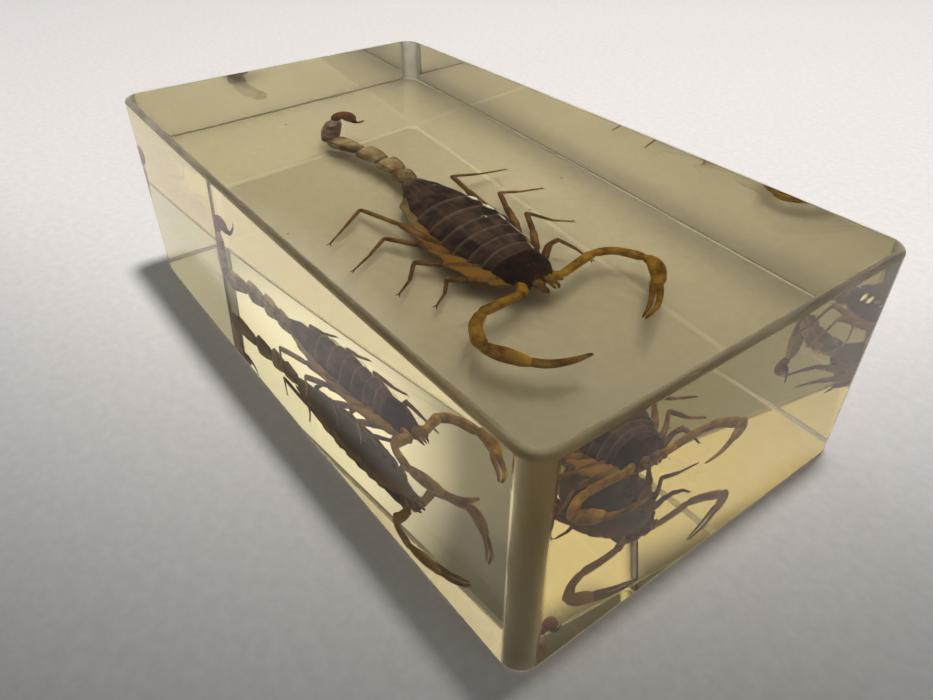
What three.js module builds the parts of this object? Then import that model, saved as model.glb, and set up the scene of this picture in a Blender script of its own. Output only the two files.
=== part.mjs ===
// A cast block of clear resin, the kind that holds a small dried specimen.
// It is one solid: a long brick whose plan corners are rounded, whose top and bottom edges are only
// rubbed round, and whose long walls stand out a little in the middle, as a cast block's do.
// Millimetres, +Z up, +X along the long side. The origin is the middle of the flat base.
import * as THREE from 'three';

// Driving dimensions.
const blockLength = 73;
const blockWidth = 41;
const blockHeight = 22.4;
const cornerRadius = 1.9;      // plan corners
const topEdgeRadius = 0.6;     // around the top face
const baseEdgeRadius = 0.35;   // around the base
const longWallCrown = 0.3;     // how far the middle of a long wall stands out past its ends

// Facets.
const cornerSteps = 8;
const longWallSteps = 12;
const shortWallSteps = 6;
const topEdgeSteps = 6;
const baseEdgeSteps = 3;

// One quarter of the plan: half a short wall, the corner and half a long wall, going anticlockwise
// from the middle of the +X wall to the middle of the +Y wall. inset moves it inwards all round.
function quarterPlan(inset) {
  const halfLength = blockLength / 2 - inset;
  const halfWidth = blockWidth / 2 - inset;
  const radius = Math.max(cornerRadius - inset, cornerRadius * 0.25);
  const centreX = halfLength - radius;
  const centreY = halfWidth - longWallCrown - radius;
  const points = [];
  for (let step = 0; step < shortWallSteps; step += 1) {
    points.push(new THREE.Vector2(halfLength, (centreY * step) / shortWallSteps));
  }
  for (let step = 0; step < cornerSteps; step += 1) {
    const turn = (Math.PI / 2) * (step / cornerSteps);
    points.push(new THREE.Vector2(centreX + radius * Math.cos(turn), centreY + radius * Math.sin(turn)));
  }
  for (let step = 0; step < longWallSteps; step += 1) {
    const along = 1 - step / longWallSteps;
    const crown = longWallCrown * (1 - along * along);
    points.push(new THREE.Vector2(centreX * along, centreY + radius + crown));
  }
  return points;
}

// The whole plan, from four turned and mirrored quarters, anticlockwise.
function plan(inset) {
  const quarter = quarterPlan(inset);
  const backHalf = [...quarter];
  backHalf.push(new THREE.Vector2(0, blockWidth / 2 - inset));
  for (let index = quarter.length - 1; index > 0; index -= 1) {
    backHalf.push(new THREE.Vector2(-quarter[index].x, quarter[index].y));
  }
  const frontHalf = backHalf.map((point) => new THREE.Vector2(-point.x, -point.y));
  return [...backHalf, ...frontHalf];
}

// Levels from the base to the top: how high each ring of the wall is, and how far in.
function wallLevels() {
  const levels = [];
  for (let step = 0; step <= baseEdgeSteps; step += 1) {
    const turn = (Math.PI / 2) * (step / baseEdgeSteps);
    levels.push({
      height: baseEdgeRadius * (1 - Math.cos(turn)),
      inset: baseEdgeRadius * (1 - Math.sin(turn)),
    });
  }
  const wallTop = blockHeight - topEdgeRadius;
  for (let step = 0; step <= topEdgeSteps; step += 1) {
    const turn = (Math.PI / 2) * (step / topEdgeSteps);
    levels.push({
      height: wallTop + topEdgeRadius * Math.sin(turn),
      inset: topEdgeRadius * (1 - Math.cos(turn)),
    });
  }
  return levels;
}

// Rings joined by bands of triangles, closed by a flat fan at the base and another at the top.
function castBlockGeometry() {
  const rings = wallLevels().map((level) => ({ outline: plan(level.inset), height: level.height }));
  const around = rings[0].outline.length;
  const positions = [];
  for (const ring of rings) {
    for (const point of ring.outline) {
      positions.push(point.x, point.y, ring.height);
    }
  }
  const baseCentre = positions.length / 3;
  positions.push(0, 0, 0);
  const topCentre = baseCentre + 1;
  positions.push(0, 0, blockHeight);

  const triangles = [];
  for (let level = 0; level < rings.length - 1; level += 1) {
    for (let index = 0; index < around; index += 1) {
      const next = (index + 1) % around;
      const low = level * around;
      const high = low + around;
      triangles.push(low + index, low + next, high + next);
      triangles.push(low + index, high + next, high + index);
    }
  }
  const lastRing = (rings.length - 1) * around;
  for (let index = 0; index < around; index += 1) {
    const next = (index + 1) % around;
    triangles.push(baseCentre, next, index);
    triangles.push(topCentre, lastRing + index, lastRing + next);
  }

  const geometry = new THREE.BufferGeometry();
  geometry.setAttribute('position', new THREE.Float32BufferAttribute(positions, 3));
  geometry.setIndex(triangles);
  geometry.computeVertexNormals();
  return geometry;
}

const clearResin = new THREE.MeshStandardMaterial({ color: 0xd9d2a0, roughness: 0.05, metalness: 0 });

const specimenBlock = new THREE.Group();
const resinBlock = new THREE.Mesh(castBlockGeometry(), clearResin);
resinBlock.name = 'resin_block';
specimenBlock.add(resinBlock);

export default specimenBlock;
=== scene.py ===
import bpy, bmesh, math, random
from mathutils import Matrix, Vector, noise


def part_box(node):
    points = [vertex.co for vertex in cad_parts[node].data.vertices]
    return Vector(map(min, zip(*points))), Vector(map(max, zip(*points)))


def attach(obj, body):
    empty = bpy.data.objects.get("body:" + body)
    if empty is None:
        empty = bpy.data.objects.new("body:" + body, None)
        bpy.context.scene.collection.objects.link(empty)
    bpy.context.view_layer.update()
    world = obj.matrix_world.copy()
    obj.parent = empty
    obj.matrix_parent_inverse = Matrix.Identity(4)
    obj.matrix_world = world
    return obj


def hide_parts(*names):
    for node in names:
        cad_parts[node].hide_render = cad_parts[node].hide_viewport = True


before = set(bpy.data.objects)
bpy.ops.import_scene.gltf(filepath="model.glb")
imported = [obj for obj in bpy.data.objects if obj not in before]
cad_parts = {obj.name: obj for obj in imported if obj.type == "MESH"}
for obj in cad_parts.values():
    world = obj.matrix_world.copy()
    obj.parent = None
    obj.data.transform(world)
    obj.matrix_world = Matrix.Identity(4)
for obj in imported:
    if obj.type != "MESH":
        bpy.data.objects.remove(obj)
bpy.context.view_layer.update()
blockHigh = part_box("resin_block")[1]
mm = 0.001  # places and sizes below are in millimetres unless a note says metres, z up from the flat base
mergeGap = 0.0004
scene = bpy.context.scene
chance = random.Random(47)


# finishes

def newFinish(name):
    finish = bpy.data.materials.new(name)
    finish.use_nodes = True
    return finish, finish.node_tree, finish.node_tree.nodes["Principled BSDF"]


def addNode(tree, kind, **settings):
    node = tree.nodes.new(kind)
    for key, value in settings.items():
        setattr(node, key, value)
    return node


def rampNode(tree, source, stops):
    ramp = addNode(tree, "ShaderNodeValToRGB")
    elements = ramp.color_ramp.elements
    while len(elements) < len(stops):
        elements.new(0.5)
    for element, (place, colour) in zip(elements, stops):
        element.position = place
        element.color = (*colour, 1)
    tree.links.new(source, ramp.inputs["Fac"])
    return ramp.outputs["Color"]


def greyRamp(tree, source, places, greys):
    return rampNode(tree, source, [(place, (grey,) * 3) for place, grey in zip(places, greys)])


def noiseNode(tree, scale, detail=3, rough=0.5):
    place = addNode(tree, "ShaderNodeTexCoord")
    grain = addNode(tree, "ShaderNodeTexNoise")
    grain.inputs["Scale"].default_value = scale
    grain.inputs["Detail"].default_value = detail
    grain.inputs["Roughness"].default_value = rough
    tree.links.new(place.outputs["Object"], grain.inputs["Vector"])
    return grain.outputs["Fac"]


def mixColour(tree, amount, first, second):
    mix = addNode(tree, "ShaderNodeMix", data_type="RGBA")
    for socket, value in ((mix.inputs[0], amount), (mix.inputs[6], first), (mix.inputs[7], second)):
        if isinstance(value, bpy.types.NodeSocket):
            tree.links.new(value, socket)
        else:
            socket.default_value = (*value, 1)
    return mix.outputs[2]


shellLooks = {
    "backShell": dict(
        dark=(0.032, 0.019, 0.018), light=(0.140, 0.085, 0.078), worn=(0.36, 0.275, 0.23),
        rough=0.40, grainScale=1500, bump=0.5, slot="dark_shell"),
    "headShell": dict(
        dark=(0.010, 0.004, 0.002), light=(0.045, 0.014, 0.006), worn=(0.10, 0.040, 0.012),
        rough=0.36, grainScale=1700, bump=0.5, slot="dark_shell"),
    "tailShell": dict(
        dark=(0.17, 0.11, 0.060), light=(0.64, 0.52, 0.35), worn=(0.16, 0.092, 0.046),
        rough=0.42, grainScale=1900, bump=0.4, slot="tail_shell"),
    # last tail segment: the dark violet-brown is the shell's own colour, and the pale lilac patches of its cloudy
    # mottle are a painted glint
    "lastTailShellAndGlint": dict(
        dark=(0.17, 0.115, 0.11), light=(0.72, 0.55, 0.52), worn=(0.62, 0.46, 0.36),
        rough=0.33, grainScale=1900, bump=0.4, slot="tail_shell"),
    "stingShell": dict(
        dark=(0.15, 0.050, 0.020), light=(0.34, 0.135, 0.052), worn=(0.030, 0.013, 0.009),
        rough=0.3, grainScale=1300, bump=0.2, slot="tail_shell"),
    "pincerShell": dict(
        dark=(0.18, 0.082, 0.008), light=(0.62, 0.36, 0.042), worn=(0.12, 0.044, 0.006),
        rough=0.38, grainScale=1500, bump=0.3, slot="pincer_shell"),
    "jawShell": dict(
        dark=(0.26, 0.14, 0.02), light=(0.52, 0.33, 0.07), worn=(0.10, 0.035, 0.012),
        rough=0.35, grainScale=2200, bump=0.25, slot="pincer_shell"),
    "legShell": dict(
        dark=(0.16, 0.080, 0.032), light=(0.38, 0.21, 0.090), worn=(0.08, 0.032, 0.012),
        rough=0.42, grainScale=2000, bump=0.25, slot="leg_shell"),
    # belly skin and combs: the pale end of the cloudy mottle is partly the belly's own pale tone and partly painted
    # silvery air-film glints
    "bellyShellAndGlints": dict(
        dark=(0.15, 0.135, 0.095), light=(0.46, 0.42, 0.32), worn=(0.36, 0.20, 0.045),
        rough=0.5, grainScale=1600, bump=0.4, slot="belly_shell"),
}

# the same for every shell; bumpDepth is in metres, and shine stays low because resin touches the shell all over
shellSkin = dict(cloudScale=420, cloudDetail=4, cloudRough=0.6, cloudStops=(0.36, 0.66), grainRough=0.55,
                 grainStops=(0.3, 0.7), bumpDepth=0.00012, smoother=0.08, rougher=0.12, shine=0.03)


# dried horny skin: cloudy colour, another colour where the mesh says worn, fine granules
def makeShell(name, look):
    finish, tree, skin = newFinish(name)
    clouds = noiseNode(tree, shellSkin["cloudScale"], shellSkin["cloudDetail"], shellSkin["cloudRough"])
    patches = rampNode(tree, clouds, list(zip(shellSkin["cloudStops"], (look["dark"], look["light"]))))
    worn = addNode(tree, "ShaderNodeAttribute", attribute_name="worn")
    colour = mixColour(tree, worn.outputs["Fac"], patches, look["worn"])
    tree.links.new(colour, skin.inputs["Base Color"])
    grain = noiseNode(tree, look["grainScale"], 3, shellSkin["grainRough"])
    bump = addNode(tree, "ShaderNodeBump")
    bump.inputs["Strength"].default_value = look["bump"]
    bump.inputs["Distance"].default_value = shellSkin["bumpDepth"]
    tree.links.new(grain, bump.inputs["Height"])
    tree.links.new(bump.outputs["Normal"], skin.inputs["Normal"])
    roughRange = (look["rough"] - shellSkin["smoother"], look["rough"] + shellSkin["rougher"])
    tree.links.new(greyRamp(tree, grain, shellSkin["grainStops"], roughRange), skin.inputs["Roughness"])
    skin.inputs["Specular IOR Level"].default_value = shellSkin["shine"]
    return finish


shellFinish = {name: makeShell(name, look) for name, look in shellLooks.items()}

airLook = dict(ior=0.635, rough=0.04)   # air seen from inside resin: 1 / 1.575


def makeTrappedAir():
    finish, tree, skin = newFinish("trappedAir")
    skin.inputs["Base Color"].default_value = (1, 1, 1, 1)
    skin.inputs["Transmission Weight"].default_value = 1
    skin.inputs["Roughness"].default_value = airLook["rough"]
    skin.inputs["IOR"].default_value = airLook["ior"]
    return finish


trappedAir = makeTrappedAir()

resinLook = dict(ior=1.575, absorb=(0.96, 0.79, 0.06), density=14.5,
                 edgeRough=0.62, rubScale=260, rubSpread=0.2, rubStops=(0.3, 0.7))


def makeResin():
    finish, tree, skin = newFinish("clearResin")
    skin.inputs["Base Color"].default_value = (1, 1, 1, 1)
    skin.inputs["Transmission Weight"].default_value = 1
    skin.inputs["IOR"].default_value = resinLook["ior"]
    worn = addNode(tree, "ShaderNodeAttribute", attribute_name="worn")   # 1 on the hand-rubbed edges
    rubbed = addNode(tree, "ShaderNodeMath", operation="MULTIPLY")
    tree.links.new(worn.outputs["Fac"], rubbed.inputs[0])
    rough, spread = resinLook["edgeRough"], resinLook["rubSpread"]
    uneven = greyRamp(tree, noiseNode(tree, resinLook["rubScale"]), resinLook["rubStops"],
                      (rough * (1 - spread), rough * (1 + spread)))
    tree.links.new(uneven, rubbed.inputs[1])
    tree.links.new(rubbed.outputs[0], skin.inputs["Roughness"])
    tint = addNode(tree, "ShaderNodeVolumeAbsorption")
    tint.inputs["Color"].default_value = (*resinLook["absorb"], 1)
    tint.inputs["Density"].default_value = resinLook["density"]
    tree.links.new(tint.outputs["Volume"], tree.nodes["Material Output"].inputs["Volume"])
    return finish


clearResin = makeResin()
print("finishes ready")


# mesh helpers

def finishPiece(name, mesh, finish, subdiv=1):
    bmesh.ops.remove_doubles(mesh, verts=mesh.verts[:], dist=mergeGap)
    bmesh.ops.recalc_face_normals(mesh, faces=mesh.faces[:])
    bmesh.ops.scale(mesh, vec=(mm, mm, mm), verts=mesh.verts[:])
    data = bpy.data.meshes.new(name)
    mesh.to_mesh(data)
    mesh.free()
    data.shade_smooth()
    piece = bpy.data.objects.new(name, data)
    scene.collection.objects.link(piece)
    data.materials.append(finish)
    if subdiv:
        smooth = piece.modifiers.new("smooth", "SUBSURF")
        smooth.levels = smooth.render_levels = subdiv
    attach(piece, "root")
    return piece


def shellPiece(name, mesh, finishName, subdiv=1):
    finishPiece(name, mesh, shellFinish[finishName], subdiv)


def newShape():
    mesh = bmesh.new()
    mesh.verts.layers.float.new("worn")
    mesh.verts.layers.float.new("turn")
    return mesh


# values is a list of (place, value); between two places the value eases from one to the next
def blend(values, t):
    for (t0, v0), (t1, v1) in zip(values, values[1:]):
        if t <= t1:
            s = max(0.0, min(1.0, (t - t0) / (t1 - t0)))
            return v0 + (v1 - v0) * s * s * (3 - 2 * s)
    return values[-1][1]


# the values of such a list, each times size
def sized(values, size):
    return [(t, size * share) for t, share in values]


# a smooth curve through the points
def curvePoint(points, t):
    span = len(points) - 1
    place = min(max(t, 0) * span, span - 1e-6)
    i = int(place)
    s = place - i
    p1, p2 = points[i], points[i + 1]
    p0 = points[i - 1] if i else p1 * 2 - p2
    p3 = points[i + 2] if i + 2 <= span else p2 * 2 - p1
    squared, cubed = 2 * p0 - 5 * p1 + 4 * p2 - p3, 3 * p1 - p0 - 3 * p2 + p3
    return 0.5 * (2 * p1 + (p2 - p0) * s + squared * s * s + cubed * s ** 3)


# extrudes the open end of a tube and gives the new ring's corners and edges
def nextRing(mesh, edges):
    made = bmesh.ops.extrude_edge_only(mesh, edges=edges)["geom"]
    circle = [part for part in made if isinstance(part, bmesh.types.BMVert)]
    fresh = set(circle)
    edges = [part for part in made if isinstance(part, bmesh.types.BMEdge) and all(v in fresh for v in part.verts)]
    return circle, edges


# a closed tube along the points; wide and tall list (share of length, half size)
def limb(mesh, points, wide, tall=None, rings=10, sides=14, up=(0, 0, 1), section=None, worn=None):
    points = [Vector(p) for p in points]
    tall = tall or wide
    wornLayer = mesh.verts.layers.float["worn"]
    turnLayer = mesh.verts.layers.float["turn"]
    circle = bmesh.ops.create_circle(mesh, cap_ends=True, radius=1, segments=sides)["verts"]
    for vert in circle:
        vert[turnLayer] = math.atan2(vert.co.y, vert.co.x)
    edges = list({edge for vert in circle for edge in vert.link_edges})
    for ring in range(rings + 1):
        t = ring / rings
        centre = curvePoint(points, t)
        ahead = (curvePoint(points, min(1, t + 0.01)) - curvePoint(points, max(0, t - 0.01))).normalized()
        side = Vector(up).cross(ahead).normalized()
        top = ahead.cross(side)
        if ring:
            circle, edges = nextRing(mesh, edges)
        for vert in circle:
            turn = vert[turnLayer]
            swell = section(turn, t) if section else 1.0
            across, upward = blend(wide, t) * swell * math.cos(turn), blend(tall, t) * swell * math.sin(turn)
            vert.co = centre + side * across + top * upward
            vert[wornLayer] = worn(turn, t) if worn else 0.0
    bmesh.ops.contextual_create(mesh, geom=circle)


# raised ridges at these turns in degrees, beaded along the length
def keels(places, width, height, beads=0, depth=0.5):
    def swell(turn, t):
        rise = 0.0
        for place in places:
            gap = turn - math.radians(place)
            gap = math.atan2(math.sin(gap), math.cos(gap))
            rise += math.exp(-(gap / math.radians(width)) ** 2)
        if beads:
            rise *= 1 - depth + depth * abs(math.sin(math.pi * beads * t))
        return 1 + height * rise
    return swell


def ball(mesh, place, size):
    made = bmesh.ops.create_icosphere(mesh, subdivisions=2, radius=1)["verts"]
    bmesh.ops.scale(mesh, vec=size, verts=made)
    bmesh.ops.translate(mesh, vec=place, verts=made)


# resin block; the hold values keep a flat face flat right up to its rounded edge

block = dict(cornerRadius=1.9, cornerShrink=0.6, innerRadius=0.35, topEdgeRadius=0.6, baseEdgeRadius=0.35,
             longWallCrown=0.3, edgeHold=0.03, holdShare=0.4, farCornerWear=0.7, wearGain=2,
             flatInsets=(0.5, 1.5, 5, 9, 13), middleHalf=0.5,
             longCuts=36, shortCuts=20, cornerCuts=8, wallCuts=14, baseEdgeCuts=6, topEdgeCuts=12)


# points round the block's plan, anticlockwise, the same count at every inset; z is a point's share of a corner
def wallPlan(inset, halfLength, halfWidth):
    radius = max(block["cornerRadius"] - inset * block["cornerShrink"], block["innerRadius"])
    a, b = halfLength - inset, halfWidth - inset
    corners = [(a - radius, b - radius, 0), (radius - a, b - radius, 90),
               (radius - a, radius - b, 180), (a - radius, radius - b, 270)]
    plan = []
    for i, (x, y, start) in enumerate(corners):
        for k in range(block["cornerCuts"] + 1):
            angle = math.radians(start + 90 * k / block["cornerCuts"])
            arc = math.sin(math.pi * k / block["cornerCuts"])
            plan.append(Vector((x + radius * math.cos(angle), y + radius * math.sin(angle), arc)))
        nextX, nextY, nextStart = corners[(i + 1) % 4]
        angle = math.radians(nextStart)
        far = Vector((nextX + radius * math.cos(angle), nextY + radius * math.sin(angle), 0))
        near = plan[-1].xy.to_3d()
        cuts = block["longCuts"] if i % 2 == 0 else block["shortCuts"]
        hold = min(block["edgeHold"] / (far - near).length, block["holdShare"] / cuts)
        plan += [near.lerp(far, share) for share in [hold] + [k / cuts for k in range(1, cuts)] + [1 - hold]]
    return plan


# rings from the middle of the base round to the middle of the top: height, inset, how rounded
def blockLevels(height, deepest):
    hold, baseRadius, topRadius = block["edgeHold"], block["baseEdgeRadius"], block["topEdgeRadius"]
    insets = [hold, *block["flatInsets"]]
    levels = [(0, inset, 0) for inset in [deepest] + [baseRadius + i for i in reversed(insets)]]
    for k in range(block["baseEdgeCuts"] + 1):
        angle = math.pi / 2 * k / block["baseEdgeCuts"]
        levels.append((baseRadius * (1 - math.cos(angle)), baseRadius * (1 - math.sin(angle)), math.sin(2 * angle)))
    low, high, cuts = baseRadius, height - topRadius, block["wallCuts"]
    wallHeights = [low + hold] + [low + (high - low) * k / cuts for k in range(1, cuts)] + [high - hold]
    levels += [(z, 0, 0) for z in wallHeights]
    for k in range(block["topEdgeCuts"] + 1):
        angle = math.pi / 2 * k / block["topEdgeCuts"]
        levels.append((high + topRadius * math.sin(angle), topRadius * (1 - math.cos(angle)), math.sin(2 * angle)))
    return levels + [(height, inset, 0) for inset in [topRadius + i for i in insets] + [deepest]]


def buildBlock():
    halfLength, halfWidth, height = blockHigh.x / mm, blockHigh.y / mm, blockHigh.z / mm
    crown, topRadius = block["longWallCrown"], block["topEdgeRadius"]
    deepest = halfWidth - crown - block["middleHalf"]
    mesh = newShape()
    count = len(wallPlan(0, halfLength, halfWidth))
    circle = bmesh.ops.create_circle(mesh, cap_ends=True, radius=1, segments=count)["verts"]
    orderLayer = mesh.verts.layers.float["turn"]
    wornLayer = mesh.verts.layers.float["worn"]
    for vert in circle:
        vert[orderLayer] = round(math.atan2(vert.co.y, vert.co.x) % (2 * math.pi) / (2 * math.pi) * count) % count
    edges = list({edge for vert in circle for edge in vert.link_edges})
    for i, (z, inset, rounded) in enumerate(blockLevels(height, deepest)):
        plan = wallPlan(min(inset, deepest), halfLength, halfWidth - crown)
        if i:
            circle, edges = nextRing(mesh, edges)
        for vert in circle:
            spot = plan[int(vert[orderLayer])]
            out = crown * (1 - min(1, abs(spot.x) / halfLength) ** 2) * spot.y / (halfWidth - crown)
            vert.co = (spot.x, spot.y + out, z)
            cornerWear = 1 if spot.x > 0 else block["farCornerWear"]
            corner = spot.z * cornerWear * (0 < z < height and inset < topRadius)
            vert[wornLayer] = min(1, block["wearGain"] * max(rounded, corner))
    bmesh.ops.contextual_create(mesh, geom=circle)
    piece = finishPiece("resinBlock", mesh, clearResin, subdiv=0)
    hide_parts("resin_block")


buildBlock()
print("resin block ready")


# scorpion: body

body = dict(
    halfWidths=[(-8.2, 1.1), (-7.4, 1.5), (-5.5, 2.4), (-2.5, 3.45), (0, 3.8), (2.5, 4.05), (4.8, 4.05), (7.2, 3.6),
                (9.3, 3.1), (11, 2.7)],
    middles=[(-8, 1.0), (-5.5, 0.95), (-2.5, 0.8), (2.5, 0.75), (7.2, 0.45), (15, 0.4)],
    tops=[(-8.2, 4.7), (-5.5, 5.6), (-2, 6.3), (3, 6.6), (7, 6.5), (11, 6.3)],
    sideHeight=3.8,
)


# a place on the back: x along the body, angle in radians from straight up towards +y, lift outward
def backPoint(x, angle, lift=0.0):
    wide, top = blend(body["halfWidths"], x) + lift, blend(body["tops"], x) - body["sideHeight"] + lift
    return Vector((x, blend(body["middles"], x) + wide * math.sin(angle), body["sideHeight"] + top * math.cos(angle)))


backPlates = dict(
    ends=[10.8, 9.4, 7.8, 5.9, 3.9, 1.6, -1.0, -7.9],
    reach=84, overlap=0.35, bow=0.30, sunk=0.16, rise=0.34, thickness=0.14,
    keelTurns=(0, -26, 26), lastKeelTurns=(0, -17, 17, -40, 40), keelWidth=3.2, keelHeight=0.14, keelWear=0.25,
    bigBumps=0.07, smallBumps=0.03, edgeWear=[(0, 0.0), (0.8, 0.0), (1, 0.6)])   # turns and reach in degrees


def tergite(index):
    front, rear = backPlates["ends"][index], backPlates["ends"][index + 1]
    mesh = newShape()
    wornLayer = mesh.verts.layers.float["worn"]
    keelTurns = backPlates["keelTurns"] if index < 6 else backPlates["lastKeelTurns"]
    overlap = backPlates["overlap"]
    for vert in bmesh.ops.create_grid(mesh, x_segments=14, y_segments=44, size=1)["verts"]:
        t = (1 - vert.co.x) / 2          # 0 at the front edge, 1 at the hind edge
        angle = math.radians(backPlates["reach"]) * vert.co.y
        x = front + overlap + (rear - front - overlap) * t - backPlates["bow"] * math.cos(angle) ** 3 * t
        ridge = 0.0
        for place in keelTurns:
            gap = (math.degrees(angle) - place) / backPlates["keelWidth"]
            ridge += math.exp(-gap * gap) * blend([(0, 0), (0.3, 0.3), (1, 1)], t)
        ridge *= 0.7 + 0.3 * math.sin(x * 11)
        lift = -backPlates["sunk"] + backPlates["rise"] * t ** 1.6 + backPlates["keelHeight"] * ridge
        lift += (backPlates["bigBumps"] * noise.noise(Vector((x * 2.6, angle * 8, index)))
                 + backPlates["smallBumps"] * noise.noise(Vector((x * 9, angle * 30, 5))))
        vert.co = backPoint(x, angle, lift)
        patchy = 0.7 + 0.5 * noise.noise(Vector((angle * 3, index, 1)))
        vert[wornLayer] = blend(backPlates["edgeWear"], t) * patchy + backPlates["keelWear"] * ridge
    bmesh.ops.recalc_face_normals(mesh, faces=mesh.faces[:])
    bmesh.ops.solidify(mesh, geom=mesh.faces[:], thickness=backPlates["thickness"])
    shellPiece("tergite%d" % (index + 1), mesh, "backShell")


for index in range(7):
    tergite(index)

print("tergites ready")

trunk = dict(
    middle=[(-8.0, 1.0, 3.6), (-5.5, 0.85, 3.55), (-2.0, 0.45, 3.5), (3.0, 0.1, 3.4), (7.2, -0.1, 3.35),
            (11, 0.1, 3.6), (14.4, 0.35, 4.15)],
    wide=[(0, 0.9), (0.11, 2.0), (0.27, 3.55), (0.5, 4.7), (0.68, 4.6), (0.86, 3.5), (0.96, 1.9), (1, 0.8)],
    tall=[(0, 0.5), (0.11, 0.65), (0.27, 0.75), (0.5, 0.8), (0.68, 0.85), (0.86, 0.9), (0.96, 0.85), (1, 0.5)],
    goldenRound=[(0, 0), (0.35, 0.1), (0.6, 1), (1, 1)], goldenAlong=[(0, 0.2), (0.3, 0.35), (0.5, 1), (1, 1)],
    sideFold=0.035, plateStep=0.03, wrinkle=0.03)


# sides of soft skin in fine folds, belly plates in low steps
def trunkSection(turn, t):
    folded = trunk["sideFold"] * math.sin(t * 60) * abs(math.cos(turn)) ** 3
    stepped = trunk["plateStep"] * (t * 9 % 1) * (math.sin(turn) < -0.3) * (t < 0.6)
    return 1 + folded + stepped + trunk["wrinkle"] * noise.noise(Vector((t * 22, turn * 4, 2)))


def trunkWorn(turn, t):
    return blend(trunk["goldenRound"], abs(math.cos(turn))) * blend(trunk["goldenAlong"], t)


def buildTrunk():
    mesh = newShape()
    limb(mesh, trunk["middle"], trunk["wide"], trunk["tall"], rings=64, sides=40, section=trunkSection, worn=trunkWorn)
    shellPiece("bellySkin", mesh, "bellyShellAndGlints")


buildTrunk()

# x, distance out from the middle line, z
combs = dict(root=(6.4, 0.5, 2.5), tip=(3.9, 2.9, 2.65), middleLine=0.6, stem=[(0, 0.2), (0.5, 0.22), (1, 0.1)],
             teeth=12, tooth=[(0, 0.08), (0.6, 0.1), (1, 0.04)], toothWear=0.8)


def buildCombs():
    mesh = newShape()
    for side in (-1, 1):
        root, tip = (Vector((x, combs["middleLine"] + out * side, z)) for x, out, z in (combs["root"], combs["tip"]))
        limb(mesh, [root, root.lerp(tip, 0.5) + Vector((0.25, 0, -0.1)), tip], combs["stem"], rings=12, sides=10)
        for k in range(combs["teeth"]):
            start = root.lerp(tip, 0.08 + 0.9 * k / combs["teeth"])
            bend, end = start + Vector((-0.35, 0.05 * side, -0.05)), start + Vector((-0.72, 0.12 * side, -0.04))
            limb(mesh, [start, bend, end], combs["tooth"], rings=4, sides=8, worn=lambda turn, t: combs["toothWear"])
    shellPiece("bellyCombs", mesh, "bellyShellAndGlints", subdiv=0)


buildCombs()
print("belly ready")

carapace = dict(
    front=14.6, rear=10.5, rearHalf=2.85, frontHalf=1.6, rearTop=6.25, frontTop=5.5, sideHeight=3.9, middleLine=0.4,
    reach=86, thickness=0.16, notch=0.32, eyeMound=0.28, sidePits=0.14, groove=0.12, keelPlaces=(0.2, 0.55),
    keelHeight=0.07, bumps=0.07, edgeWear=[(0, 0.5), (0.08, 0.0), (1, 0.25)])


def buildCarapace():
    mesh = newShape()
    wornLayer = mesh.verts.layers.float["worn"]
    made = bmesh.ops.create_grid(mesh, x_segments=26, y_segments=34, size=1)["verts"]
    for vert in made:
        t = (1 + vert.co.x) / 2          # 0 at the hind edge, 1 at the front
        angle = math.radians(carapace["reach"]) * vert.co.y
        s = math.sin(angle)
        x = carapace["rear"] + (carapace["front"] - carapace["rear"]) * t
        x -= carapace["notch"] * t ** 3 * math.exp(-(s / 0.3) ** 2)
        wide = blend([(0, carapace["rearHalf"]), (0.45, 2.75), (0.85, 2.0), (1, carapace["frontHalf"])], t)
        top = blend([(0, carapace["rearTop"]), (0.35, 6.35), (0.6, 6.2), (1, carapace["frontTop"])], t)
        tall = top - carapace["sideHeight"]
        lift = carapace["eyeMound"] * math.exp(-((t - 0.56) / 0.13) ** 2 - (s / 0.16) ** 2)
        lift -= carapace["sidePits"] * math.exp(-((t - 0.28) / 0.16) ** 2 - ((abs(s) - 0.38) / 0.14) ** 2)
        lift -= carapace["groove"] * math.exp(-(s / 0.05) ** 2) * blend([(0, 1), (0.4, 0), (1, 0)], t)
        for keel in carapace["keelPlaces"]:
            along = math.exp(-((t - 0.45) / 0.35) ** 2)
            lift += carapace["keelHeight"] * math.exp(-((abs(s) - keel) / 0.05) ** 2) * along
        lift += carapace["bumps"] * noise.noise(Vector((x * 3.4, s * 11, 3.3)))
        vert.co = (x, carapace["middleLine"] + (wide + lift * 0.4) * s,
                   carapace["sideHeight"] + (tall + lift) * math.cos(angle))
        vert[wornLayer] = blend(carapace["edgeWear"], t)
    bmesh.ops.recalc_face_normals(mesh, faces=mesh.faces[:])
    bmesh.ops.solidify(mesh, geom=mesh.faces[:], thickness=carapace["thickness"])
    shellPiece("carapace", mesh, "headShell")


buildCarapace()

# the big pair on the mound and three small ones at each front corner: x, distance out, z
eyes = dict(big=(12.85, 0.27, 6.42), bigSize=(0.2, 0.15, 0.17),
            small=[(14.15, 1.5, 4.6), (13.9, 1.63, 4.7), (13.65, 1.75, 4.8)], smallSize=(0.13, 0.1, 0.12))


def buildEyes():
    mesh = newShape()
    sizes = [eyes["bigSize"]] + [eyes["smallSize"]] * len(eyes["small"])
    for side in (-1, 1):
        for size, (x, out, z) in zip(sizes, [eyes["big"]] + eyes["small"]):
            ball(mesh, (x, carapace["middleLine"] + out * side, z), size)
    shellPiece("eyes", mesh, "backShell", subdiv=0)


buildEyes()
print("carapace ready")


# scorpion: tail; wide and tall are shares of a segment's half thickness, turns are in degrees

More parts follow.
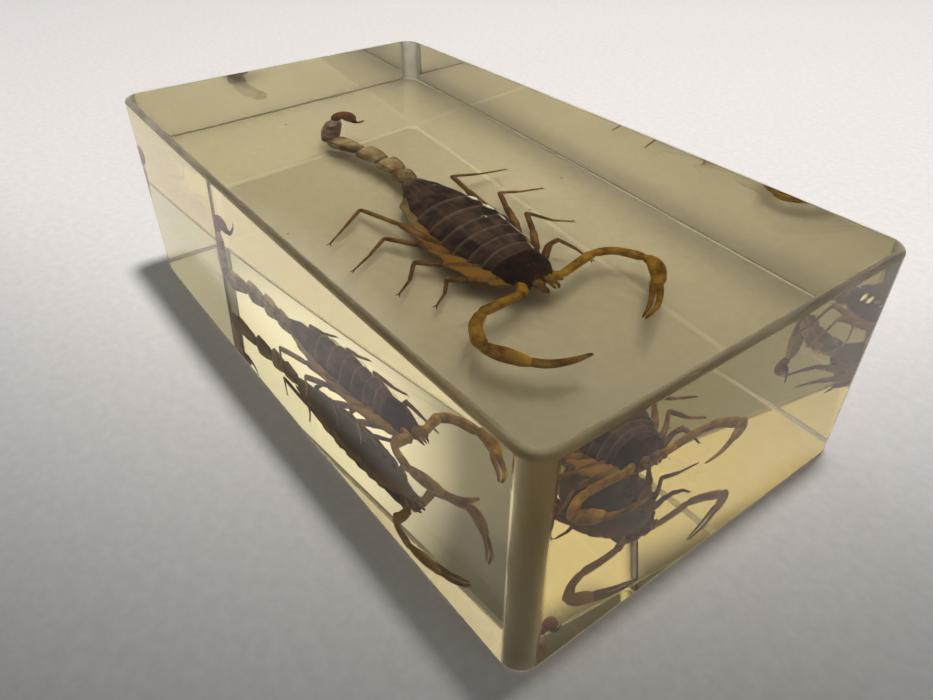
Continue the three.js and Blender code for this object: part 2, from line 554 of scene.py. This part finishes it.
tail = dict(
    joints=[(-7.8, 0.95, 3.5), (-11.0, 1.45, 3.7), (-14.1, 1.3, 3.85), (-17.8, 0.5, 3.9), (-22.6, -0.75, 3.2)],
    halves=[1.18, 1.36, 1.34, 1.22], arch=0.08,
    wide=[(0, 0.5), (0.14, 0.8), (0.5, 1.02), (0.8, 1.08), (0.93, 0.86), (1, 0.5)],
    tall=[(0, 0.48), (0.14, 0.76), (0.55, 1), (0.82, 1.08), (0.94, 0.82), (1, 0.46)],
    darkKeels=(40, 140, -40, -140, 8, 172), lowKeels=(-72, -108), beads=11,
    ridgeWear=0.55, endWear=0.5, endPlaces=[(0, 1), (0.12, 0), (0.85, 0), (1, 1)])
lastSegment = dict(
    middle=[(-22.9, -0.85, 2.7), (-23.4, -0.5, 4.3), (-23.7, 0.0, 6.5), (-23.7, 0.55, 8.8)],
    wide=[(0, 0.8), (0.12, 1.08), (0.5, 1.18), (0.85, 1.02), (1, 0.55)],
    keelTurns=(50, 130, -50, -130, 0, 180), beads=14)
sting = dict(
    middle=[(-23.8, 0.5, 8.6), (-24.2, 1.25, 9.5), (-23.5, 1.9, 10.0), (-22.1, 1.95, 9.6), (-21.2, 2.0, 9.6),
            (-20.4, 2.4, 10.6), (-20.3, 2.5, 11.3)],
    wide=[(0, 0.42), (0.1, 0.75), (0.28, 1.0), (0.42, 0.9), (0.55, 0.42), (0.7, 0.22), (0.9, 0.11), (1, 0.03)],
    blackTip=[(0, 0.2), (0.2, 0), (0.5, 0), (0.62, 1), (1, 1)])


def tailWorn(turn, t):
    ridge = keels(tail["darkKeels"], 9, 1)(turn, t) - 1
    return min(1, tail["ridgeWear"] * ridge + tail["endWear"] * blend(tail["endPlaces"], t))


def buildTail():
    for k, half in enumerate(tail["halves"]):
        a, b = Vector(tail["joints"][k]), Vector(tail["joints"][k + 1])
        middle = a.lerp(b, 0.5) + Vector((0, 0, tail["arch"]))
        mesh = newShape()
        limb(mesh, [a, middle, b], sized(tail["wide"], half), sized(tail["tall"], half), rings=26, sides=40,
             section=keels(tail["darkKeels"] + tail["lowKeels"], 8, 0.11, beads=tail["beads"]), worn=tailWorn)
        shellPiece("tailSegment%d" % (k + 1), mesh, "tailShell")
    mesh = newShape()
    limb(mesh, lastSegment["middle"], lastSegment["wide"], rings=30, sides=36, up=(1, 0, 0),
         section=keels(lastSegment["keelTurns"], 9, 0.09, beads=lastSegment["beads"]))
    shellPiece("tailSegment5", mesh, "lastTailShellAndGlint")
    mesh = newShape()
    limb(mesh, sting["middle"], sting["wide"], rings=34, sides=24, up=(0, 1, 0),
         worn=lambda turn, t: blend(sting["blackTip"], t))
    shellPiece("sting", mesh, "stingShell")


buildTail()
print("tail ready")


# scorpion: pincers; each part lists its middle line and half thickness

pincers = {
    "left": dict(
        trochanter=([(13.4, 1.7, 4.2), (14.6, 1.9, 4.5), (15.0, 2.5, 4.6)], 0.62),
        femur=([(15.0, 2.2, 4.7), (14.6, 4.6, 4.85), (14.2, 7.2, 4.8)], 0.54),
        patella=([(14.1, 6.9, 4.7), (15.3, 9.0, 4.85), (17.9, 10.6, 4.7)], 0.6),
        hand=([(17.6, 10.5, 4.7), (18.9, 10.5, 4.75), (20.4, 9.4, 4.8), (21.6, 8.0, 4.85)], 0.86),
        finger=([(20.9, 8.8, 4.85), (22.3, 7.5, 4.9), (23.6, 5.7, 5.0), (24.2, 3.5, 5.1)], 0.4),
        mover=([(20.6, 8.5, 4.5), (21.8, 7.1, 4.45), (23.0, 5.4, 4.65), (23.9, 3.5, 5.0)], 0.34)),
    "right": dict(
        trochanter=([(13.4, -1.3, 4.3), (14.5, -2.0, 4.6), (14.9, -2.7, 4.8)], 0.62),
        femur=([(14.9, -2.4, 4.8), (15.0, -4.7, 5.0), (14.9, -7.2, 5.0)], 0.58),
        patella=([(14.9, -6.9, 5.0), (16.2, -8.6, 5.1), (18.6, -9.8, 5.1)], 0.66),
        hand=([(18.3, -9.7, 5.1), (19.6, -9.2, 5.15), (21.1, -8.4, 5.15), (22.5, -7.7, 5.2)], 0.84),
        finger=([(21.8, -8.1, 5.15), (23.4, -6.9, 5.25), (24.4, -5.0, 5.4), (24.8, -3.1, 5.5)], 0.4),
        mover=([(21.6, -7.8, 4.8), (23.0, -6.5, 4.85), (24.0, -4.8, 5.05), (24.6, -3.1, 5.35)], 0.34)),
}
pincerShape = dict(
    finger=[(0, 0.9), (0.15, 1), (0.6, 0.72), (0.92, 0.42), (1, 0.1)],
    fingerWear=[(0, 0.7), (0.4, 0.3), (0.85, 0.3), (1, 1)],
    hand=[(0, 0.45), (0.15, 0.8), (0.5, 1), (0.8, 0.86), (1, 0.5)], handFlat=0.92,
    arm=[(0, 0.55), (0.12, 0.9), (0.5, 0.94), (0.88, 1.05), (1, 0.6)], armFlat=0.95, armWear=0.35,
    cornerKeels=(45, 135, -45, -135), sideKeels=(0, 180), teethTurn=(-90,))   # shares of the half thickness, degrees


def armWorn(turn, t):
    return pincerShape["armWear"] * (keels(pincerShape["cornerKeels"], 12, 1)(turn, t) - 1)


def buildPincer(side, parts):
    cornerKeels, sideKeels = pincerShape["cornerKeels"], pincerShape["sideKeels"]
    for part, (points, half) in parts.items():
        mesh = newShape()
        if part in ("finger", "mover"):
            limb(mesh, points, sized(pincerShape["finger"], half), rings=22, sides=16,
                 section=keels(pincerShape["teethTurn"], 25, 0.12, beads=16, depth=0.8),
                 worn=lambda turn, t: blend(pincerShape["fingerWear"], t))
        elif part == "hand":
            wide = sized(pincerShape["hand"], half)
            limb(mesh, points, wide, sized(wide, pincerShape["handFlat"]), rings=24, sides=24,
                 section=keels(cornerKeels, 14, 0.05, beads=12))
        else:
            wide = sized(pincerShape["arm"], half)
            limb(mesh, points, wide, sized(wide, pincerShape["armFlat"]), rings=22, sides=24,
                 section=keels(cornerKeels + sideKeels, 12, 0.08, beads=13), worn=armWorn)
        shellPiece("%sPincer%s" % (side, part.capitalize()), mesh, "pincerShell")


for side, parts in pincers.items():
    buildPincer(side, parts)

print("pincers ready")


# scorpion: jaws; x, distance out from the middle line, z

jaws = dict(
    base=[(13.7, 0.55, 4.6), (14.6, 0.66, 4.75), (15.4, 0.62, 4.6)],
    baseHalf=[(0, 0.4), (0.3, 0.6), (0.7, 0.62), (1, 0.35)],
    outer=[(15.1, 0.82, 4.6), (15.8, 0.84, 4.5), (16.2, 0.5, 4.3)], outerHalf=[(0, 0.26), (0.5, 0.2), (1, 0.04)],
    inner=[(15.1, 0.42, 4.45), (15.7, 0.38, 4.3), (16.0, 0.42, 4.15)], innerHalf=[(0, 0.24), (0.5, 0.18), (1, 0.04)],
    stripes=0.4)


def buildJaws():
    for side, name in ((1, "left"), (-1, "right")):
        mesh = newShape()
        base, outer, inner = ([(x, carapace["middleLine"] + out * side, z) for x, out, z in jaws[part]]
                              for part in ("base", "outer", "inner"))
        limb(mesh, base, jaws["baseHalf"], rings=14, sides=18,
             worn=lambda turn, t: jaws["stripes"] * abs(math.sin(9 * t + 3 * turn)) * (t > 0.4))
        limb(mesh, outer, jaws["outerHalf"], rings=8, sides=10, worn=lambda turn, t: t)
        limb(mesh, inner, jaws["innerHalf"], rings=8, sides=10, worn=lambda turn, t: t)
        shellPiece(name + "Jaw", mesh, "jawShell")


buildJaws()
print("jaws ready")


# scorpion: legs; base, hip, bend, knee, ankle and toe places

legs = {
    "left1": [(12.6, 1.2, 3.0), (11.6, 3.2, 3.7), (10.3, 5.0, 4.1), (10.2, 6.3, 4.1), (12.2, 6.9, 3.5),
              (14.2, 6.9, 3.2)],
    "left2": [(11.0, 1.1, 2.8), (9.9, 3.7, 3.5), (7.4, 5.4, 4.0), (4.5, 7.0, 4.2), (6.9, 8.5, 3.5),
              (8.0, 10.2, 3.0)],
    "left3": [(9.6, 1.2, 2.7), (5.6, 4.9, 3.4), (2.1, 6.2, 4.0), (-0.3, 7.3, 4.3), (0.4, 9.5, 3.5),
              (0.95, 12.2, 2.8)],
    "left4": [(8.0, 1.3, 2.6), (1.5, 4.6, 3.3), (-3.2, 5.0, 3.9), (-6.3, 5.3, 4.3), (-5.4, 8.4, 3.4),
              (-4.8, 11.7, 2.8)],
    "right1": [(12.6, -0.4, 3.5), (11.4, -2.6, 3.7), (9.7, -4.4, 3.1), (7.9, -5.6, 2.2), (9.3, -6.9, 1.8),
               (10.0, -8.3, 1.4)],
    "right2": [(11.0, -0.3, 3.4), (8.4, -3.0, 3.6), (6.2, -4.9, 3.0), (3.7, -6.5, 1.9), (5.6, -8.3, 1.6),
               (6.6, -10.1, 1.4)],
    "right3": [(9.6, -0.4, 3.4), (5.6, -3.4, 3.6), (2.2, -4.8, 3.0), (-1.4, -6.7, 2.0), (0.1, -9.3, 1.8),
               (1.2, -11.8, 1.6)],
    "right4": [(8.0, -0.5, 3.4), (3.0, -3.6, 3.6), (-2.0, -4.5, 3.2), (-7.4, -5.9, 2.1), (-5.6, -8.8, 1.8),
               (-4.0, -11.4, 1.6)],
}
legShape = dict(
    halves=[0.68, 0.60, 0.46, 0.36, 0.23, 0.13],   # at the same six places
    narrow=0.8, jointOverlap=0.12, archFirst=0.16, archLess=0.04, jointWear=[(0, 1), (0.12, 0), (0.88, 0), (1, 1)],
    clawSpread=0.24, clawLength=0.42, clawDrop=0.12, claw=[(0, 0.08), (0.5, 0.055), (1, 0.015)])


def buildLeg(name, places):
    places = [Vector(p) for p in places]
    mesh = newShape()
    for k, (a, b) in enumerate(zip(places, places[1:])):
        thick, thin = legShape["halves"][k] * (1.0 if k < 2 else 0.92), legShape["halves"][k + 1]
        along = (b - a).normalized() * legShape["jointOverlap"]
        bow = a.lerp(b, 0.5) + Vector((0, 0, legShape["archFirst"] - legShape["archLess"] * k))
        wide = [(0, thick * 0.6), (0.12, thick * 0.95), (0.55, (thick + thin) / 2), (0.9, thin * 1.1), (1, thin * 0.6)]
        limb(mesh, [a - along, bow, b + along], sized(wide, legShape["narrow"]), wide, rings=14, sides=14,
             section=keels((90, -90), 16, 0.1, beads=8), worn=lambda turn, t: 0.7 * blend(legShape["jointWear"], t))
    ankle, toe = places[-2:]
    out = (toe - ankle).normalized()
    aside = Vector((-out.y, out.x, 0)).normalized()
    for spread in (-legShape["clawSpread"], legShape["clawSpread"]):
        tip = toe + out * legShape["clawLength"] + aside * spread + Vector((0, 0, -legShape["clawDrop"]))
        limb(mesh, [toe, toe.lerp(tip, 0.6) + Vector((0, 0, 0.08)), tip], legShape["claw"],
             rings=5, sides=8, worn=lambda turn, t: 1)
    shellPiece("%sLeg%s" % (name[:-1], name[-1]), mesh, "legShell")


for name, places in legs.items():
    buildLeg(name, places)

print("legs ready")


# thin air films where the resin has let go of the shell, and small bubbles

airFilms = dict(
    # x, degrees from the top, half sizes
    onBack=[(-0.3, 45, 0.72, 0.55), (2.1, 45, 0.78, 0.58), (4.6, 44, 0.70, 0.26), (7.2, 52, 1.9, 0.15),
            (10.2, 47, 0.60, 0.14), (3.9, 16, 0.30, 0.30), (-5.2, 22, 0.5, 0.14)],
    # place, facing, half sizes
    onTail=[((-15.9, 0.75, 5.05), (0.1, -0.35, 1), 0.55, 0.2),
            ((-22.75, -0.1, 7.9), (0.8, -0.15, 0.55), 0.55, 0.16),
            ((-22.85, -0.55, 6.2), (0.85, -0.4, 0.3), 0.5, 0.12)],
    halfThickness=0.035, ragged=0.45, overShell=0.3, tailGrain=20,
    bubbles=9, bubbleSmall=0.06, bubbleLarge=0.15, bubbleLong=30, bubbleWide=16, bubbleLow=1, bubbleHigh=8)


def filmLens(mesh, place, normal, length, width, grain):
    made = bmesh.ops.create_icosphere(mesh, subdivisions=3, radius=1)["verts"]
    for vert in made:
        ragged = 1 + airFilms["ragged"] * noise.noise(vert.co * 2.2 + Vector((grain, 0, 0)))
        x, y, z = vert.co
        vert.co = (x * length * ragged, y * width * ragged, z * airFilms["halfThickness"])
    bmesh.ops.rotate(mesh, verts=made, cent=(0, 0, 0), matrix=Vector(normal).to_track_quat("Z", "Y").to_matrix())
    bmesh.ops.translate(mesh, verts=made, vec=place)


def buildAir():
    mesh = newShape()
    for grain, (x, degrees, length, width) in enumerate(airFilms["onBack"]):
        angle = math.radians(degrees)
        along = backPoint(x + 0.3, angle) - backPoint(x - 0.3, angle)
        across = backPoint(x, angle + 0.05) - backPoint(x, angle - 0.05)
        normal = along.cross(across).normalized()
        normal = normal if normal.z > 0 else -normal
        filmLens(mesh, backPoint(x, angle, airFilms["overShell"]), normal, length, width, grain)
    for grain, (place, normal, length, width) in enumerate(airFilms["onTail"]):
        filmLens(mesh, Vector(place), normal, length, width, airFilms["tailGrain"] + grain)
    long, wide = airFilms["bubbleLong"], airFilms["bubbleWide"]
    for k in range(airFilms["bubbles"]):
        size = chance.uniform(airFilms["bubbleSmall"], airFilms["bubbleLarge"])
        place = (chance.uniform(-long, long), chance.uniform(-wide, wide),
                 chance.uniform(airFilms["bubbleLow"], airFilms["bubbleHigh"]))
        ball(mesh, place, (size, size, size * 0.9))
    finishPiece("airFilms", mesh, trappedAir, subdiv=0)


buildAir()
print("air films ready")


# floor, light and camera; from here on places are in metres, but for the floor's

paper = dict(half=900, below=0.05, fibreScale=900, fibreStops=(0.3, 0.7), dark=(0.60, 0.58, 0.575),
             light=(0.66, 0.64, 0.635), rough=0.9, shine=0.1)


def buildFloor():
    mesh = newShape()
    bmesh.ops.create_grid(mesh, x_segments=4, y_segments=4, size=paper["half"])
    bmesh.ops.translate(mesh, vec=(0, 0, -paper["below"]), verts=mesh.verts[:])
    bmesh.ops.scale(mesh, vec=(mm, mm, mm), verts=mesh.verts[:])
    data = bpy.data.meshes.new("paperFloor")
    mesh.to_mesh(data)
    mesh.free()
    floor = bpy.data.objects.new("paperFloor", data)
    scene.collection.objects.link(floor)
    finish, tree, skin = newFinish("palePaper")
    tones = list(zip(paper["fibreStops"], (paper["dark"], paper["light"])))
    tree.links.new(rampNode(tree, noiseNode(tree, paper["fibreScale"], 4, 0.6), tones), skin.inputs["Base Color"])
    skin.inputs["Roughness"].default_value = paper["rough"]
    skin.inputs["Specular IOR Level"].default_value = paper["shine"]
    data.materials.append(finish)


buildFloor()

overheadLamp = dict(place=(0.0, 0.09, 0.57), aim=(-0.115, 0.122, 0), size=0.075, power=15.2, cone=39.9, fade=0.2,
                    colour=(1.0, 0.975, 0.94))


def buildLamp():
    lamp = bpy.data.lights.new("overheadLamp", "SPOT")
    lamp.energy = overheadLamp["power"]
    lamp.color = overheadLamp["colour"]
    lamp.shadow_soft_size = overheadLamp["size"] / 2
    lamp.spot_size = math.radians(overheadLamp["cone"])
    lamp.spot_blend = overheadLamp["fade"]
    lampPlace = bpy.data.objects.new("overheadLamp", lamp)
    scene.collection.objects.link(lampPlace)
    lampPlace.location = overheadLamp["place"]
    lampPlace.visible_glossy = False   # no lamp mirrored in the top face
    away = Vector(overheadLamp["place"]) - Vector(overheadLamp["aim"])
    lampPlace.rotation_euler = away.to_track_quat("Z", "Y").to_euler()


buildLamp()

# bands are (height of the look, brightness); a window is a soft bright patch round one direction
roomLight = dict(
    bands=[(0.14, 0.26), (0.36, 0.07), (0.55, 0.08), (0.64, 0.20), (0.74, 0.19), (0.88, 0.07)],
    tint=(1.0, 0.99, 0.98), strength=1.0,
    windows=[dict(toward=(-0.74, 0.10, 0.67), start=0.940, full=0.972, colour=(1.25, 1.25, 1.28)),
             dict(toward=(-0.48, -0.68, 0.55), start=0.93, full=0.975, colour=(0.30, 0.30, 0.30)),
             dict(toward=(0.89, 0.19, 0.43), start=0.93, full=0.975, colour=(0.85, 0.87, 0.90))])


def buildRoom():
    world = bpy.data.worlds.new("room")
    scene.world = world
    world.use_nodes = True
    tree = world.node_tree
    place = addNode(tree, "ShaderNodeTexCoord")
    split = addNode(tree, "ShaderNodeSeparateXYZ")
    tree.links.new(place.outputs["Generated"], split.inputs[0])
    bands = [(height, tuple(glow * part for part in roomLight["tint"])) for height, glow in roomLight["bands"]]
    sky = rampNode(tree, split.outputs["Z"], bands)
    for window in roomLight["windows"]:
        facing = addNode(tree, "ShaderNodeVectorMath", operation="DOT_PRODUCT")
        facing.inputs[1].default_value = Vector(window["toward"]).normalized()
        tree.links.new(place.outputs["Generated"], facing.inputs[0])
        glow = greyRamp(tree, facing.outputs["Value"], (window["start"], window["full"]), (0, 1))
        sky = mixColour(tree, glow, sky, window["colour"])
    tree.links.new(sky, tree.nodes["Background"].inputs["Color"])
    tree.nodes["Background"].inputs["Strength"].default_value = roomLight["strength"]


buildRoom()

view = dict(place=(0.05635, -0.04012, 0.05174), right=(0.6016, 0.7988, 0.0069), up=(-0.4907, 0.3627, 0.7923),
            back=(0.6303, -0.48, 0.6101), lens=28.68, sensorWidth=36, nearest=0.001)


def buildCamera():
    lens = bpy.data.cameras.new("camera")
    lens.sensor_fit = "HORIZONTAL"
    lens.sensor_width = view["sensorWidth"]
    lens.lens = view["lens"]
    lens.clip_start = view["nearest"]
    camera = bpy.data.objects.new("camera", lens)
    scene.collection.objects.link(camera)
    turn = Matrix((view["right"], view["up"], view["back"])).transposed()
    camera.matrix_world = Matrix.Translation(view["place"]) @ turn.to_4x4()
    scene.camera = camera


buildCamera()
scene.view_settings.view_transform = "Standard"
print("floor, light and camera ready")
